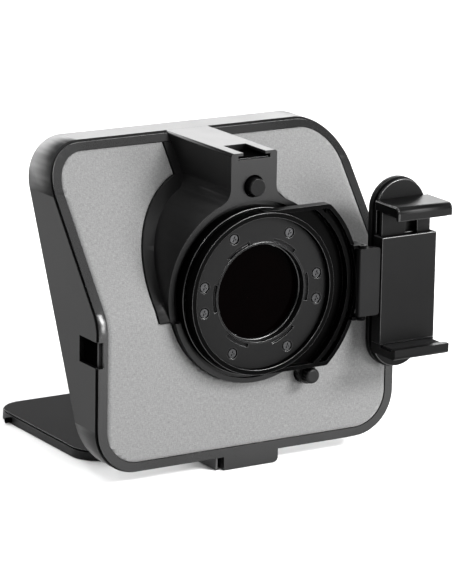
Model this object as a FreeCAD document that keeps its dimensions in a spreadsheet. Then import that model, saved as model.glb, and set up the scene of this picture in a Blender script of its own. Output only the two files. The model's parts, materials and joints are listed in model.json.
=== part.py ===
import FreeCAD, Part
import Sketcher
import math
import os

# A compact lens-mounted teleprompter.  Millimetres.  X to the right seen from
# the camera side, Y forwards to the reader, Z up.
# The pieces are drawn on the plane of the rear frame (Y = 0), and each one's
# Placement then moves it back by thread_setback, so that the finished part has
# its origin at the mouth of the tripod thread.

V = FreeCAD.Vector
doc = FreeCAD.newDocument("teleprompter")

# ---------------------------------------------------------------- sizes sheet
SIZES = {
    # hood, seen from the side: a vertical foot, then a back that leans forward
    "hood_half": 87.8, "hood_low": 6.1, "hood_high": 163.2, "hood_wall": 2.4,
    "hood_corner": 23.5, "rim_setback": 1.6, "bend_height": 85.2, "bend_round": 19.0,
    "back_reach": 62.85, "front_reach": 81.4, "front_foot": 12.3,
    "notch_low": 62.4, "notch_high": 75.8, "notch_depth": 18.5,
    # rear frame, fabric panel and board, as layers along the back's normal
    "frame_half": 86.9, "frame_low": 7.0, "frame_drop": 0.9, "frame_band": 4.55, "frame_lip": 1.0,
    "neck_half": 85.3, "fabric_face": 0.5, "board_face": 3.5, "board_back": 5.0,
    "tab_left": 14.4, "tab_right": 17.7,
    # lens axis, tunnel and top arm
    "lens_height": 92.9, "tunnel_out": 48.4, "tunnel_in": 45.4, "tunnel_face": -0.8,
    "leg_low": 81.2, "flange_out": 54.0, "flange_face": -0.6, "strip_half": 17.5, "arm_half": 13.3,
    "arm_edge": 1.6,
    "flare": 8.0, "shoe_width": 18.6, "shoe_gap": 13.0, "shoe_floor": 159.6,
    "shoe_lip": 1.5, "shoe_length": 18.4, "hub_out": 47.4, "hub_face": -4.2,
    "collar_out": 43.0, "collar_in": 41.58, "collar_face": -5.5,
    # release button and lock knob
    "button_height": 145.8, "button_radius": 4.6, "button_hole": 5.0,
    "knob_x": 32.0, "knob_height": 45.5,
    # lens adapter
    "spigot_out": 41.5, "spigot_in": 38.9, "rib_face": -12.2, "plate_face": -11.4,
    "plate_back": -5.85, "plate_half": 41.9, "plate_round": 57.0, "plate_rim": 2.0,
    "disc_face": -9.2, "aperture": 25.06, "screw_circle": 33.4, "slot_circle": 27.2,
    # phone arm, rail and clamp
    "pin_x": 56.4, "pin_y": -14.5, "pin_radius": 1.1, "barrel": 2.4, "arm_tall": 17.6, "arm_face": -16.3,
    "rail_x": 83.4, "rail_half": 15.7, "rail_tall": 49.9, "rail_height": 93.3,
    "clamp_half": 16.5, "clamp_face": -17.0, "clamp_low": 59.5, "clamp_high": 115.3,
    "jaw_reach": -31.0, "jaw_top": 133.2, "jaw_foot": 54.1,
    # tray and tripod block
    "tray_half": 70.4, "tray_rear": 42.6, "tray_front": 145.3, "tray_round": 15.5,
    "tray_thick": 4.2, "hinge_y": 40.5, "hinge_z": 2.1, "hinge_pin": 0.9,
    "block_half": 18.0, "block_front": 37.6, "thread_setback": 19.0, "thread_radius": 3.175,
}

sheet = doc.addObject("Spreadsheet::Sheet", "Sizes")
for row, (alias, number) in enumerate(SIZES.items(), start=1):
    sheet.set("A%d" % row, alias)
    sheet.set("B%d" % row, str(number))
    sheet.setAlias("B%d" % row, alias)
doc.recompute()


class Size:
    """A number that also knows the sheet expression it came from."""

    def __init__(self, value, text):
        self.value = float(value)
        self.text = text

    def _with(self, other, sign, value, swap=False):
        text = other.text if isinstance(other, Size) else repr(float(other))
        first, second = (text, self.text) if swap else (self.text, text)
        return Size(value, "(%s %s %s)" % (first, sign, second))

    def __add__(self, other):
        return self._with(other, "+", self.value + num(other))

    def __sub__(self, other):
        return self._with(other, "-", self.value - num(other))

    def __mul__(self, other):
        return self._with(other, "*", self.value * num(other))

    def __radd__(self, other):
        return self._with(other, "+", num(other) + self.value, swap=True)

    def __rsub__(self, other):
        return self._with(other, "-", num(other) - self.value, swap=True)

    def __rmul__(self, other):
        return self._with(other, "*", num(other) * self.value, swap=True)

    def __neg__(self):
        return self * -1


def num(size):
    """The plain number of a Size or of a number."""
    return size.value if isinstance(size, Size) else float(size)


class Sizes:
    """The sheet's cells by name: S.hood_wall and so on."""

    def __getattr__(self, alias):
        return Size(sheet.get(alias), "Sizes.%s" % alias)


S = Sizes()


# ------------------------------------------------------------------- helpers
PARTS = []


def bind(thing, prop, size):
    """Tie a property to the sheet, or set it where the size is a plain number."""
    if isinstance(size, Size):
        thing.setExpression(prop, size.text)
    elif "." in prop:
        thing.setExpression(prop, repr(float(size)))
    else:
        setattr(thing, prop, size)


def put(thing, x, y, z):
    """Bind an object's position."""
    for axis, size in zip("xyz", (x, y, z)):
        bind(thing, "Placement.Base.%s" % axis, size)
    return thing


def box(x, y, z):
    """A block between the pairs x, y and z."""
    thing = doc.addObject("Part::Box", "Block")
    for prop, pair in (("Length", x), ("Width", y), ("Height", z)):
        bind(thing, prop, pair[1] - pair[0])
    return put(thing, x[0], y[0], z[0])


TURN = {
    "x": FreeCAD.Rotation(V(0, 1, 0), 90),
    "y": FreeCAD.Rotation(V(1, 0, 0), -90),
    "z": FreeCAD.Rotation(),
}


def rod(axis, radius, span, at):
    """A cylinder along an axis; at holds its other two coordinates in X, Y, Z order."""
    thing = doc.addObject("Part::Cylinder", "Rod")
    thing.Placement = FreeCAD.Placement(V(), TURN[axis])
    bind(thing, "Radius", radius)
    bind(thing, "Height", span[1] - span[0])
    where = list(at)
    where.insert("xyz".index(axis), span[0])
    return put(thing, *where)


def taper(radius_1, radius_2, span, at):
    """A cone along Y, radius_1 at the start of the span."""
    thing = doc.addObject("Part::Cone", "Taper")
    thing.Placement = FreeCAD.Placement(V(), TURN["y"])
    bind(thing, "Radius1", radius_1)
    bind(thing, "Radius2", radius_2)
    bind(thing, "Height", span[1] - span[0])
    return put(thing, at[0], span[0], at[1])


def fuse(*things):
    thing = doc.addObject("Part::MultiFuse", "Fused")
    thing.Shapes = list(things)
    thing.Refine = True
    return thing


def cut(base, *tools):
    thing = doc.addObject("Part::Cut", "Trimmed")
    thing.Base = base
    thing.Tool = tools[0] if len(tools) == 1 else fuse(*tools)
    thing.Refine = True
    return thing


def common(first, second):
    thing = doc.addObject("Part::Common", "Shared")
    thing.Base = first
    thing.Tool = second
    return thing


def group(*things):
    thing = doc.addObject("Part::Compound", "Group")
    thing.Links = list(things)
    return thing


def solid(shape, name="Solid"):
    """A free shape made with Part's own functions, its own placement kept inside it."""
    thing = doc.addObject("Part::Feature", name)
    thing.Shape = shape if shape.Placement.isIdentity() else Part.makeCompound([shape])
    return thing


def rounded(base, radius, chooser):
    """Round the edges of a finished object that the chooser picks."""
    doc.recompute()
    edges = [n + 1 for n, edge in enumerate(base.Shape.Edges) if chooser(edge)]
    if not edges:
        raise ValueError("no edge to round on " + base.Name)
    thing = doc.addObject("Part::Fillet", "Rounded")
    thing.Base = base
    thing.Edges = [(edge, num(radius), num(radius)) for edge in edges]
    return thing


def part(name, thing):
    """Name a sub-part and move it to the finished part's frame."""
    if thing.TypeId in ("Part::Box", "Part::Cylinder", "Part::Cone"):
        thing = fuse_one(thing)
    thing.Label = name
    bind(thing, "Placement.Base.y", -S.thread_setback)
    PARTS.append(thing)
    return thing


def fuse_one(thing):
    """Wrap a primitive, so that its own position stays free of the frame shift."""
    holder = doc.addObject("Part::Compound", "Wrapped")
    holder.Links = [thing]
    return holder


def along(edge, axis, tolerance=1e-6):
    """True for a straight edge along a coordinate axis."""
    if edge.Curve.TypeId != "Part::GeomLine":
        return False
    step = edge.tangentAt(edge.FirstParameter)
    return abs(abs(getattr(step, axis)) - 1) < tolerance


def middle(edge):
    """The point half-way along an edge."""
    return edge.valueAt((edge.FirstParameter + edge.LastParameter) / 2)


# ---------------------------------------------------------- Body and sketches
PLANES = {"xy": "XY_Plane", "xz": "XZ_Plane", "yz": "YZ_Plane"}


def new_body(name):
    return doc.addObject("PartDesign::Body", name)


def new_sketch(body, plane, offset=0):
    """A sketch on one of the body's own origin planes, moved along its normal."""
    sketch = body.newObject("Sketcher::SketchObject", "Sketch")
    origin = [f for f in body.Origin.OriginFeatures if f.Role == PLANES[plane]][0]
    sketch.AttachmentSupport = [(origin, "")]
    sketch.MapMode = "FlatFace"
    bind(sketch, "AttachmentOffset.Base.z", offset)
    return sketch


def pin_point(sketch, geometry, end, u, v):
    """Hold one point of the sketch at (u, v) from its origin."""
    for kind, size in (("DistanceX", u), ("DistanceY", v)):
        index = sketch.addConstraint(Sketcher.Constraint(kind, -1, 1, geometry, end, num(size)))
        if isinstance(size, Size):
            sketch.setExpression("Constraints[%d]" % index, size.text)


def outline(sketch, points):
    """A closed polygon whose corners are held by the sheet."""
    spots = [V(num(u), num(v), 0) for u, v in points]
    first = sketch.GeometryCount
    count = len(points)
    for n in range(count):
        sketch.addGeometry(Part.LineSegment(spots[n], spots[(n + 1) % count]))
    for n in range(count):
        after = first + (n + 1) % count
        sketch.addConstraint(Sketcher.Constraint("Coincident", first + n, 2, after, 1))
    for n, (u, v) in enumerate(points):
        pin_point(sketch, first + n, 1, u, v)


def circle(sketch, u, v, radius):
    """A circle held by its centre and radius."""
    index = sketch.addGeometry(Part.Circle(V(num(u), num(v), 0), V(0, 0, 1), num(radius)))
    pin_point(sketch, index, 3, u, v)
    hold = sketch.addConstraint(Sketcher.Constraint("Radius", index, num(radius)))
    if isinstance(radius, Size):
        sketch.setExpression("Constraints[%d]" % hold, radius.text)


def pad(body, sketch, length, centred=False):
    thing = body.newObject("PartDesign::Pad", "Pad")
    thing.Profile = sketch
    bind(thing, "Length", length)
    if centred:
        thing.SideType = "Symmetric"
    body.Tip = thing
    return thing


def pocket(body, sketch, length, centred=False, reverse=False):
    """A pocket, with a test that it really took something away."""
    doc.recompute()
    before = body.Shape.Volume
    thing = body.newObject("PartDesign::Pocket", "Pocket")
    thing.Profile = sketch
    bind(thing, "Length", length)
    thing.Reversed = reverse
    if centred:
        thing.SideType = "Symmetric"
    body.Tip = thing
    doc.recompute()
    if body.Shape.Volume > before - 1e-3:
        raise ValueError("a pocket cut nothing in " + body.Name)
    return thing


def round_body(body, radius, chooser):
    """A PartDesign fillet on the edges that the chooser picks."""
    doc.recompute()
    edges = ["Edge%d" % (n + 1) for n, edge in enumerate(body.Tip.Shape.Edges) if chooser(edge)]
    if not edges:
        raise ValueError("no edge to round in " + body.Name)
    base = body.Tip
    thing = body.newObject("PartDesign::Fillet", "Fillet")
    thing.Base = (base, edges)
    bind(thing, "Radius", radius)
    body.Tip = thing
    return thing


# --------------------------------------------------- the leaning back's layers
LEAN = math.atan2(num(S.back_reach), num(S.hood_high - S.bend_height))
TALL = 400.0


def back_curve(depth, low, high):
    """The back's side profile, moved inwards by depth, from height low to high."""
    bend_z = num(S.bend_height) - depth * math.tan(LEAN / 2)
    radius = num(S.bend_round) - depth
    run = radius * math.tan(LEAN / 2)
    start = V(0, depth, bend_z - run)
    end = V(0, depth + run * math.sin(LEAN), bend_z + run * math.cos(LEAN))
    centre = V(0, depth + radius, bend_z - run)
    mid = centre + V(0, -radius * math.cos(LEAN / 2), radius * math.sin(LEAN / 2))
    top = V(0, depth + (high - bend_z) * math.tan(LEAN), high)
    return [
        Part.LineSegment(V(0, depth, low), start).toShape(),
        Part.Arc(start, mid, end).toShape(),
        Part.LineSegment(end, top).toShape(),
    ]


def back_layer(near, far, half=100.0, low=-40.0, high=220.0):
    """The slab between two depths behind the back's surface."""
    inner = back_curve(near, low, high)
    outer = back_curve(far, low, high)
    ends = [
        Part.LineSegment(inner[-1].lastVertex().Point, outer[-1].lastVertex().Point).toShape(),
        Part.LineSegment(outer[0].firstVertex().Point, inner[0].firstVertex().Point).toShape(),
    ]
    wire = Part.Wire(Part.__sortEdges__(inner + outer + ends))
    face = Part.Face(wire)
    face.translate(V(-half, 0, 0))
    return face.extrude(V(2 * half, 0, 0))


def behind_layer(depth):
    """Everything on the camera side of the back's surface at a depth."""
    edges = back_curve(depth, -40.0, 220.0)
    top = edges[-1].lastVertex().Point
    foot = edges[0].firstVertex().Point
    far = [V(0, -150, top.z), V(0, -150, foot.z)]
    edges.append(Part.LineSegment(top, far[0]).toShape())
    edges.append(Part.LineSegment(far[0], far[1]).toShape())
    edges.append(Part.LineSegment(far[1], foot).toShape())
    face = Part.Face(Part.Wire(Part.__sortEdges__(edges)))
    face.translate(V(-100, 0, 0))
    return face.extrude(V(200, 0, 0))


def window(half, low, high, corner):
    """A long bar along Y with a rounded rectangular section."""
    bar = Part.makeBox(2 * half, TALL, high - low, V(-half, -TALL / 2, low))
    edges = [e for e in bar.Edges if along(e, "y")]
    return bar.makeFillet(corner, edges)


def framed(half, low, high, corner):
    """The bar of the rear frame's own outline, moved in by a few millimetres."""
    return window(num(half), num(low), num(high), num(corner))


def bore(radius, x=0.0, z=None):
    """A long round bar along Y."""
    height = num(S.lens_height) if z is None else z
    return Part.makeCylinder(num(radius), TALL, V(x, -TALL / 2, height), V(0, 1, 0))


def slab_box(x0, x1, z0, z1):
    """A long bar along Y with a square section."""
    return Part.makeBox(x1 - x0, TALL, z1 - z0, V(x0, -TALL / 2, z0))


FRONT_LEAN = math.atan2(num(S.front_reach - S.front_foot), num(S.hood_high - S.hood_low))


def front_layer(near, far):
    """The slab between two depths inside the sloping front opening."""
    foot = V(0, num(S.front_foot), num(S.hood_low))
    up = V(0, math.sin(FRONT_LEAN), math.cos(FRONT_LEAN))
    inward = V(0, -math.cos(FRONT_LEAN), math.sin(FRONT_LEAN))
    slab = Part.makeBox(200, 260, far - near, V(-100, -50, near))
    slab.Placement = FreeCAD.Placement(foot, FreeCAD.Rotation(V(1, 0, 0), up, inward, "ZXY"))
    return slab


def pan_screw(radius, length, head_radius, head_height, point, direction):
    """A cross-head screw, its head's underside at the point, its shank along direction."""
    shank = Part.makeCylinder(radius, length, V(0, 0, 0), V(0, 0, 1))
    head = Part.makeCylinder(head_radius, head_height, V(0, 0, -head_height), V(0, 0, 1))
    body = shank.fuse(head)
    arm = head_radius * 1.3
    width = head_radius * 0.28
    depth = head_height * 0.6
    for turn in (0, 90):
        bar = Part.makeBox(arm, width, depth, V(-arm / 2, -width / 2, -head_height))
        bar.rotate(V(), V(0, 0, 1), turn + 20)
        body = body.cut(bar)
    body.Placement = FreeCAD.Placement(point, FreeCAD.Rotation(V(0, 0, 1), direction))
    return body.removeSplitter()


def back_point(depth, x, height):
    """A point at a depth behind the back's surface, and the way in."""
    if height < num(S.bend_height) - 8:
        return V(x, depth, height), V(0, 1, 0)
    inward = V(0, math.cos(LEAN), -math.sin(LEAN))
    face = V(x, (height - num(S.bend_height)) * math.tan(LEAN), height)
    return face + inward * depth, inward


# =============================================================== the hood body
BLOCK_SCREW_X = 10.0
BLOCK_SCREW_Y = 7.0
SCREW_SHANK = 1.3


def make_hood_shell():
    """The side, top and bottom walls: open at the back and at the sloping front."""
    body = new_body("HoodShell")
    side = new_sketch(body, "yz")
    top_step = S.rim_setback * (1 / math.cos(LEAN))
    bend_drop = S.rim_setback * math.tan(LEAN / 2)
    foot_step = S.rim_setback * 1.4
    split = (S.notch_low + S.notch_high) * 0.5
    outline(side, [
        (foot_step, S.hood_low),
        (foot_step, split),
        (S.rim_setback, split),
        (S.rim_setback, S.bend_height - bend_drop),
        (S.back_reach + top_step, S.hood_high),
        (S.front_reach, S.hood_high),
        (S.front_foot, S.hood_low),
    ])
    pad(body, side, S.hood_half * 2, centred=True)
    bend_z = num(S.bend_height - bend_drop)
    round_body(body, S.bend_round - S.rim_setback,
               lambda e: along(e, "x") and abs(middle(e).z - bend_z) < 0.1)
    round_body(body, S.hood_corner,
               lambda e: along(e, "y") and abs(abs(middle(e).x) - num(S.hood_half)) < 0.1
               and (middle(e).z > num(S.hood_high) - 0.1 or middle(e).z < num(S.hood_low) + 0.1))
    inner_half = S.hood_half - S.hood_wall
    hollow = new_sketch(body, "xz")
    rounded_rectangle(hollow, inner_half, S.hood_low + S.hood_wall, S.hood_high - S.hood_wall,
                      S.hood_corner - S.hood_wall)
    pocket(body, hollow, TALL, centred=True)
    notch = new_sketch(body, "yz")
    outline(notch, [
        (0.0, S.notch_low),
        (S.notch_depth, S.notch_low),
        (S.notch_depth, S.notch_high),
        (0.0, S.notch_high),
    ])
    pocket(body, notch, S.hood_half * 2 + 10, centred=True)
    pilots = new_sketch(body, "xy", S.hood_low - 1)
    for side in (-1, 1):
        circle(pilots, side * BLOCK_SCREW_X, BLOCK_SCREW_Y, SCREW_SHANK + 0.05)
    pocket(body, pilots, 2.4, reverse=True)
    return part("hood_shell", body)


def make_notch_covers():
    """The black foam covers inside the walls, behind the two finger notches."""
    skin = S.hood_half - S.hood_wall - 0.05
    reach = (S.board_back + 0.05, S.notch_depth + 5.5)
    tall = (S.notch_low - 2.4, S.notch_high + 2.2)
    left = box((-1 * skin, 1.6 - skin), reach, tall)
    right = box((skin - 1.6, skin), reach, tall)
    return part("notch_covers", group(left, right))


def rounded_rectangle(sketch, half, low, high, corner):
    """Four lines and four tangent arcs, symmetric about the sketch's vertical axis."""
    h, lo, hi, r = num(half), num(low), num(high), num(corner)
    lines = [
        (V(-h + r, lo, 0), V(h - r, lo, 0)),
        (V(h, lo + r, 0), V(h, hi - r, 0)),
        (V(h - r, hi, 0), V(-h + r, hi, 0)),
        (V(-h, hi - r, 0), V(-h, lo + r, 0)),
    ]
    centres = [V(h - r, lo + r, 0), V(h - r, hi - r, 0), V(-h + r, hi - r, 0), V(-h + r, lo + r, 0)]
    first = sketch.GeometryCount
    for line, centre, turn in zip(lines, centres, (-90, 0, 90, 180)):
        sketch.addGeometry(Part.LineSegment(*line))
        ring = Part.Circle(centre, V(0, 0, 1), r)
        begin = math.radians(turn)
        sketch.addGeometry(Part.ArcOfCircle(ring, begin, begin + math.pi / 2))
    for n in range(4):
        line = first + 2 * n
        after = first + (2 * n + 2) % 8
        sketch.addConstraint(Sketcher.Constraint("Tangent", line, 2, line + 1, 1))
        sketch.addConstraint(Sketcher.Constraint("Tangent", line + 1, 2, after, 1))
        hold = sketch.addConstraint(Sketcher.Constraint("Radius", line + 1, r))
        if isinstance(corner, Size):
            sketch.setExpression("Constraints[%d]" % hold, corner.text)
    sketch.addConstraint(Sketcher.Constraint("Horizontal", first))
    corners = ((first, 1, -1 * (half - corner), low), (first + 4, 1, half - corner, high))
    for geometry, end, u, v in corners:
        pin_point(sketch, geometry, end, u, v)


NOTCH_RECESS = 2.9


def make_rear_frame():
    """The rear bezel: a thin lip over the rim, a neck inside the walls, a low central tab."""
    low, high = num(S.frame_low), num(S.hood_high - S.frame_drop)
    corner = num(S.hood_corner - S.frame_drop)
    band = num(S.frame_band)
    half = num(S.frame_half)
    lip = back_layer(0.0, num(S.frame_lip)).common(framed(half, low, high, corner))
    inset = half - num(S.neck_half)
    neck = back_layer(num(S.frame_lip), num(S.board_face)).common(
        framed(half - inset, low + inset, high - inset, corner - inset))
    frame = lip.fuse(neck)
    frame = frame.cut(framed(half - band, low + band, high - band * math.cos(LEAN), corner - band))
    left, right = num(S.tab_left), num(S.tab_right)
    tab = Part.makeBox(left + right, 2.0, low + 1.0, V(-left, 0, 0))
    tab = tab.makeFillet(2.6, [e for e in tab.Edges if along(e, "y") and middle(e).z < 0.1
                               and middle(e).x > 0])
    frame = frame.fuse(tab)
    gap = num(S.arm_half) + 0.05
    frame = frame.cut(slab_box(-gap, gap, num(S.button_height), 200))
    for start in (-half, half - NOTCH_RECESS):
        recess = Part.makeBox(NOTCH_RECESS, 30, num(S.notch_high - S.notch_low),
                              V(start, -5, num(S.notch_low)))
        frame = frame.cut(recess)
    for x, height in FRAME_SCREWS:
        point, way = back_point(num(S.frame_lip) + 0.2, x, height)
        frame = frame.cut(Part.makeCylinder(0.95, 4, point, way))
    return part("rear_frame", solid(frame.removeSplitter()))


def panel_outline():
    """The bar that the fabric is cut to: the frame's window, a hair smaller."""
    band = num(S.frame_band) + 0.1
    top = num(S.hood_high - S.frame_drop) - band * math.cos(LEAN)
    return framed(num(S.frame_half) - band, num(S.frame_low) + band, top,
                  num(S.hood_corner - S.frame_drop) - band)


def lens_opening(grow):
    """The cut-out round the lens flange, the top arm's strip and the lower hub."""
    high = bore(num(S.flange_out) + grow).common(slab_box(-90, 90, num(S.leg_low) - grow, 200))
    strip_half = num(S.strip_half) + grow
    strip = slab_box(-strip_half, strip_half, num(S.lens_height), 200)
    return high.fuse(strip).fuse(bore(num(S.hub_out) + grow))


def make_fabric_panel():
    """The stretched fabric pad that fills the rear frame."""
    pad_shape = back_layer(num(S.fabric_face), num(S.board_face)).common(panel_outline())
    pad_shape = pad_shape.cut(lens_opening(0.15))
    pad_shape = pad_shape.cut(bore(5.4, *KNOB_AT))
    return part("fabric_panel", solid(pad_shape.removeSplitter()))


KNOB_AT = (num(S.knob_x), num(S.knob_height))


def make_panel_board():
    """The stiff board behind the fabric, inside the walls."""
    half = num(S.neck_half) - 0.1
    inset = 1.7
    board = back_layer(num(S.board_face), num(S.board_back)).common(
        framed(half, num(S.frame_low) + inset, num(S.hood_high - S.frame_drop) - inset,
               num(S.hood_corner - S.frame_drop) - inset))
    board = board.cut(bore(num(S.collar_out) + 0.3))
    board = board.cut(bore(S.tunnel_in).common(slab_box(-90, 90, num(S.leg_low) - 4.5, 200)))
    for x, height in FRAME_SCREWS:
        point, way = back_point(num(S.board_back) + 1, x, height)
        board = board.cut(Part.makeCylinder(0.95, 8, point - way * 4, way))
    return part("panel_board", solid(board.removeSplitter()))


FRAME_SCREWS = [(side * 83.6, height) for side in (-1, 1) for height in (40.0, 56.0, 108.0, 132.0)]


def make_frame_screws():
    """Screws from inside, through the board and into the frame's neck."""
    screws = []
    for x, height in FRAME_SCREWS:
        point, way = back_point(num(S.board_back), x, height)
        screws.append(pan_screw(0.9, 3.6, 1.5, 0.9, point, way * -1))
    return part("frame_screws", solid(Part.makeCompound(screws)))


def arch_outline():
    """The face of tunnel arch and top arm seen from behind, with its two flares."""
    zc = num(S.lens_height)
    out, inn, half = num(S.tunnel_out), num(S.tunnel_in), num(S.arm_half)
    flare = num(S.flare)
    hub_x = half + flare
    hub_z = math.sqrt((out + flare) ** 2 - hub_x ** 2)
    touch = V(hub_x, 0, hub_z) * (out / (out + flare))
    leg = num(S.leg_low) - zc
    foot_out = math.sqrt(out ** 2 - leg ** 2)
    foot_in = math.sqrt(inn ** 2 - leg ** 2)
    top = num(S.hood_high)
    edge = num(S.arm_edge)

    def at(x, z):
        return V(x, 0, zc + z)

    edges = []
    for side in (-1, 1):
        flare_mid = V(hub_x, 0, hub_z) - (V(hub_x, 0, hub_z) - touch + V(flare, 0, 0)).normalize() * flare
        edges.append(Part.Arc(at(side * foot_out, leg), at(side * out, 0),
                              at(side * touch.x, touch.z)).toShape())
        edges.append(Part.Arc(at(side * touch.x, touch.z), at(side * flare_mid.x, flare_mid.z),
                              at(side * half, hub_z)).toShape())
        edges.append(Part.LineSegment(at(side * half, hub_z), V(side * half, 0, top - edge)).toShape())
        bend = V(side * (half - edge), 0, top - edge) + V(side, 0, 1).normalize() * edge
        edges.append(Part.Arc(V(side * half, 0, top - edge), bend,
                              V(side * (half - edge), 0, top)).toShape())
        edges.append(Part.LineSegment(at(side * foot_out, leg), at(side * foot_in, leg)).toShape())
    edges.append(Part.LineSegment(V(edge - half, 0, top), V(half - edge, 0, top)).toShape())
    edges.append(Part.Arc(at(-foot_in, leg), at(0, inn), at(foot_in, leg)).toShape())
    return Part.Face(Part.Wire(Part.__sortEdges__(edges)))


LATCH_LOW = 1.2
BUTTON_FLOOR = 18.0


def make_lens_housing():
    """Tunnel arch, top arm, flange on the leaning back and the lower hub, one moulding."""
    zc = num(S.lens_height)
    skin = num(S.board_face)
    face = arch_outline()
    face.translate(V(0, num(S.tunnel_face), 0))
    arch = face.extrude(V(0, num(S.back_reach) + 12.0, 0)).common(behind_layer(skin))
    under_roof = num(S.hood_high - S.hood_wall) - 0.1
    rim = back_layer(num(S.rim_setback) - 0.05, 8.0).common(slab_box(-20, 20, under_roof, 170))
    arch = arch.cut(rim)
    flange = back_layer(num(S.flange_face), skin).common(lens_opening(0.0))
    flange = flange.common(slab_box(-90, 90, num(S.leg_low), num(S.hood_high) - 4.7))
    flange = flange.cut(bore(S.tunnel_in))
    hub_face = num(S.hub_face)
    hub = Part.makeCylinder(num(S.hub_out), skin - hub_face, V(0, hub_face, zc), V(0, 1, 0))
    hub = hub.cut(Part.makeCylinder(num(S.hub_out) - 2.5, 2.7, V(0, hub_face, zc), V(0, 1, 0)))
    hub = hub.common(slab_box(-90, 90, 0, num(S.leg_low)))
    web = Part.makeCylinder(num(S.hub_out) - 0.6, 2.0, V(0, skin - 2.0, zc), V(0, 1, 0))
    bridge = Part.makeBox(12.0, 4.0, 8.0, V(45.5, hub_face + 0.2, -4.0))
    bridge.rotate(V(), V(0, 1, 0), math.degrees(math.atan2(zc - KNOB_AT[1], KNOB_AT[0])))
    bridge.translate(V(0, 0, zc))
    post = Part.makeCylinder(5.0, skin + 4.5, V(KNOB_AT[0], -4.5, KNOB_AT[1]), V(0, 1, 0))
    housing = arch.fuse([flange, hub, web, bridge, post])
    housing = housing.cut(bore(num(S.collar_out) + 0.02))
    housing = housing.cut(Part.makeCylinder(1.6, 30, V(KNOB_AT[0], -10, KNOB_AT[1]), V(0, 1, 0)))
    # cold shoe: a wide floor under two lips, open to the rear
    shoe = num(S.shoe_width) / 2
    gap = num(S.shoe_gap) / 2
    floor = num(S.shoe_floor)
    lip = num(S.hood_high - S.shoe_lip)
    length = num(S.shoe_length)
    housing = housing.cut(Part.makeBox(2 * shoe, length + 2, lip - floor, V(-shoe, -2, floor)))
    housing = housing.cut(Part.makeBox(2 * gap, length + 2, 9, V(-gap, -2, floor)))
    # round hole for the release button, with a slot below it for the latch bar
    height = num(S.button_height)
    housing = housing.cut(Part.makeCylinder(num(S.button_hole), BUTTON_FLOOR + 2,
                                            V(0, -2, height), V(0, 1, 0)))
    housing = housing.cut(Part.makeCone(num(S.button_hole) + 0.8, num(S.button_hole), 0.8,
                                        V(0, num(S.tunnel_face), height), V(0, 1, 0)))
    housing = housing.cut(Part.makeBox(6.8, 6.0, height - 136.0, V(-3.4, 7.1, 136.0)))
    return part("lens_housing", solid(housing.removeSplitter()))


def make_shoe_plate():
    """The steel wear plate on the cold shoe's floor."""
    shoe = S.shoe_width * 0.5 - 0.1
    return part("shoe_plate", box((-shoe, shoe), (0.4, S.shoe_length - 0.4),
                                  (S.shoe_floor, S.shoe_floor + 0.5)))


def make_collar():
    """The metal collar that the lens adapter plugs into, and the foam ring in front of it."""
    body = new_body("LensCollar")
    padded_ring(body, S.collar_in, S.collar_out, S.collar_face, 8.0)
    part("lens_collar", body)
    seal = new_body("LightSeal")
    padded_ring(seal, S.collar_out + 0.05, S.collar_out + 1.8, S.board_back + 0.05, 7.6)
    return part("light_seal", seal)


def padded_ring(body, inner, outer, rear, front):
    """A tube about the lens axis, padded from a sketch of two circles."""
    sketch = new_sketch(body, "xz", -1 * front)
    circle(sketch, 0.0, S.lens_height, outer)
    circle(sketch, 0.0, S.lens_height, inner)
    return pad(body, sketch, front - rear)


def make_glass():
    """Beam splitter, its rubber gasket, its frame and its front bezel, as layers."""
    half = num(S.hood_half - S.hood_wall) - 0.15
    low = num(S.hood_low + S.hood_wall) + 0.15
    high = num(S.hood_high - S.hood_wall) - 0.15
    corner = num(S.hood_corner - S.hood_wall) - 0.15

    def ring(near, far, outside, inside):
        slab = front_layer(near, far).common(
            framed(half - outside, low + outside, high - outside, corner - outside))
        if inside is None:
            return slab
        return slab.cut(framed(half - inside, low + inside, high - inside, corner - inside))

    part("glass_bezel", solid(ring(0.5, 1.8, 0.0, 5.2)))
    part("beam_splitter", solid(ring(1.8, 3.3, 1.6, None)))
    part("glass_gasket", solid(ring(3.3, 3.8, 1.6, 5.6)))
    part("glass_frame", solid(ring(3.8, 6.2, 0.0, 5.8)))


def make_tripod_block():
    """The foot under the hood: takes the tripod screw and carries the tray's hinge."""
    body = new_body("TripodBlock")
    plan = new_sketch(body, "xy")
    outline(plan, [
        (-S.block_half, 2.05),
        (S.block_half, 2.05),
        (S.block_half, S.block_front),
        (-S.block_half, S.block_front),
    ])
    pad(body, plan, S.hood_low)
    notch = new_sketch(body, "xy")
    outline(notch, [
        (-S.block_half + 1.0, 2.0),
        (-S.tab_left, 2.0),
        (-S.tab_left, 8.0),
        (-S.block_half + 1.0, 8.0),
    ])
    pocket(body, notch, S.hood_low + 1, reverse=True)
    doc.recompute()
    boss = rod("z", 6.0, (0.0, 7.0), (0.0, S.thread_setback))
    across = (-S.block_half, S.block_half)
    knuckle = rod("x", S.hinge_z - 0.05, across, (S.hinge_y, S.hinge_z))
    neck = box(across, (S.block_front - 1.0, S.hinge_y), (0.05, S.hinge_z * 2 - 0.05))
    pin = rod("x", S.hinge_pin, (-S.block_half - 1, S.block_half + 1), (S.hinge_y, S.hinge_z))
    insert = rod("z", INSERT_RADIUS, (-1.0, 9.0), (0.0, S.thread_setback))
    holes = []
    for side in (-1, 1):
        holes.append(rod("z", SCREW_SHANK + 0.05, (-1.0, 9.0), (side * BLOCK_SCREW_X, BLOCK_SCREW_Y)))
        holes.append(rod("z", 2.6, (-1.0, 2.0), (side * BLOCK_SCREW_X, BLOCK_SCREW_Y)))
    return part("tripod_block", cut(fuse(body, boss, knuckle, neck), pin, insert, *holes))


INSERT_RADIUS = 4.6


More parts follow.
